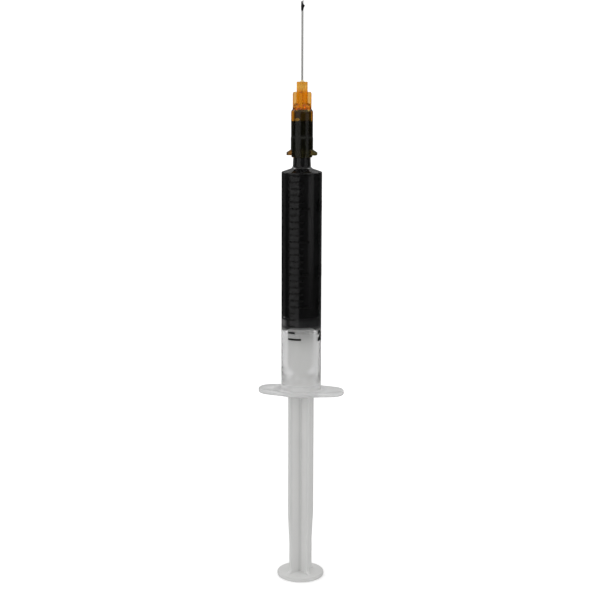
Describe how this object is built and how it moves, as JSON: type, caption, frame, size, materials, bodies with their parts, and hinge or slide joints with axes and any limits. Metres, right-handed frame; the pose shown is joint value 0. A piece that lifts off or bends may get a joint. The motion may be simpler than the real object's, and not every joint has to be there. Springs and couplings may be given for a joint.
{
  "type": "epoxy syringe",
  "caption": "Slender clear dosing syringe filled with black epoxy, standing on its thumb disc, with an amber needle hub and a fine steel dispensing needle at the top.",
  "frame": {"origin": "centre of the thumb disc's underside, on the syringe's axis", "axes": "+Z along the syringe to the needle's point, X along the two finger wings"},
  "size_m": [0.0226, 0.0124, 0.1509],
  "materials": {
    "clear_polypropylene": "clear, slightly milky moulded polypropylene with a glossy surface",
    "black_ink": "matt black pad-printed ink",
    "black_epoxy": "thick glossy black epoxy that wets the walls around it",
    "dark_rubber": "smooth dark grey rubber",
    "natural_polypropylene": "undyed, cloudy translucent moulded polypropylene with a soft sheen",
    "amber_polypropylene": "translucent amber moulded polypropylene with a glossy surface",
    "clear_adhesive": "clear, slightly yellow cured adhesive",
    "stainless_steel": "drawn stainless steel tube with a satin surface",
    "dried_epoxy": "dried black epoxy, lumpy and half matt"
  },
  "bodies": {
    "barrel": {"barrel": "clear_polypropylene", "scale_marks": "black_ink", "epoxy_column": "black_epoxy", "tip_epoxy": "black_epoxy"},
    "stopper": {"rubber_stopper": "dark_rubber"},
    "plunger": {"plunger_rod": "natural_polypropylene"},
    "needle": {"needle_hub": "amber_polypropylene", "hub_epoxy": "black_epoxy", "hub_adhesive": "clear_adhesive", "needle_cannula": "stainless_steel", "epoxy_bead": "dried_epoxy"}
  },
  "joints": [
    {"name": "plunger_slide", "type": "slide", "parent": "barrel", "child": "stopper", "axis": [0, 0, 1], "range_m": [-0.0154, 0.0336], "deforming": ["epoxy_column"]},
    {"name": "plunger_turn", "type": "hinge", "parent": "stopper", "child": "plunger", "pos_m": [0, 0, 0.0686], "axis": [0, 0, 1], "continuous": true},
    {"name": "needle_pull", "type": "slide", "parent": "barrel", "child": "needle", "axis": [0, 0, 1], "range_m": [0, 0.012]}
  ]
}
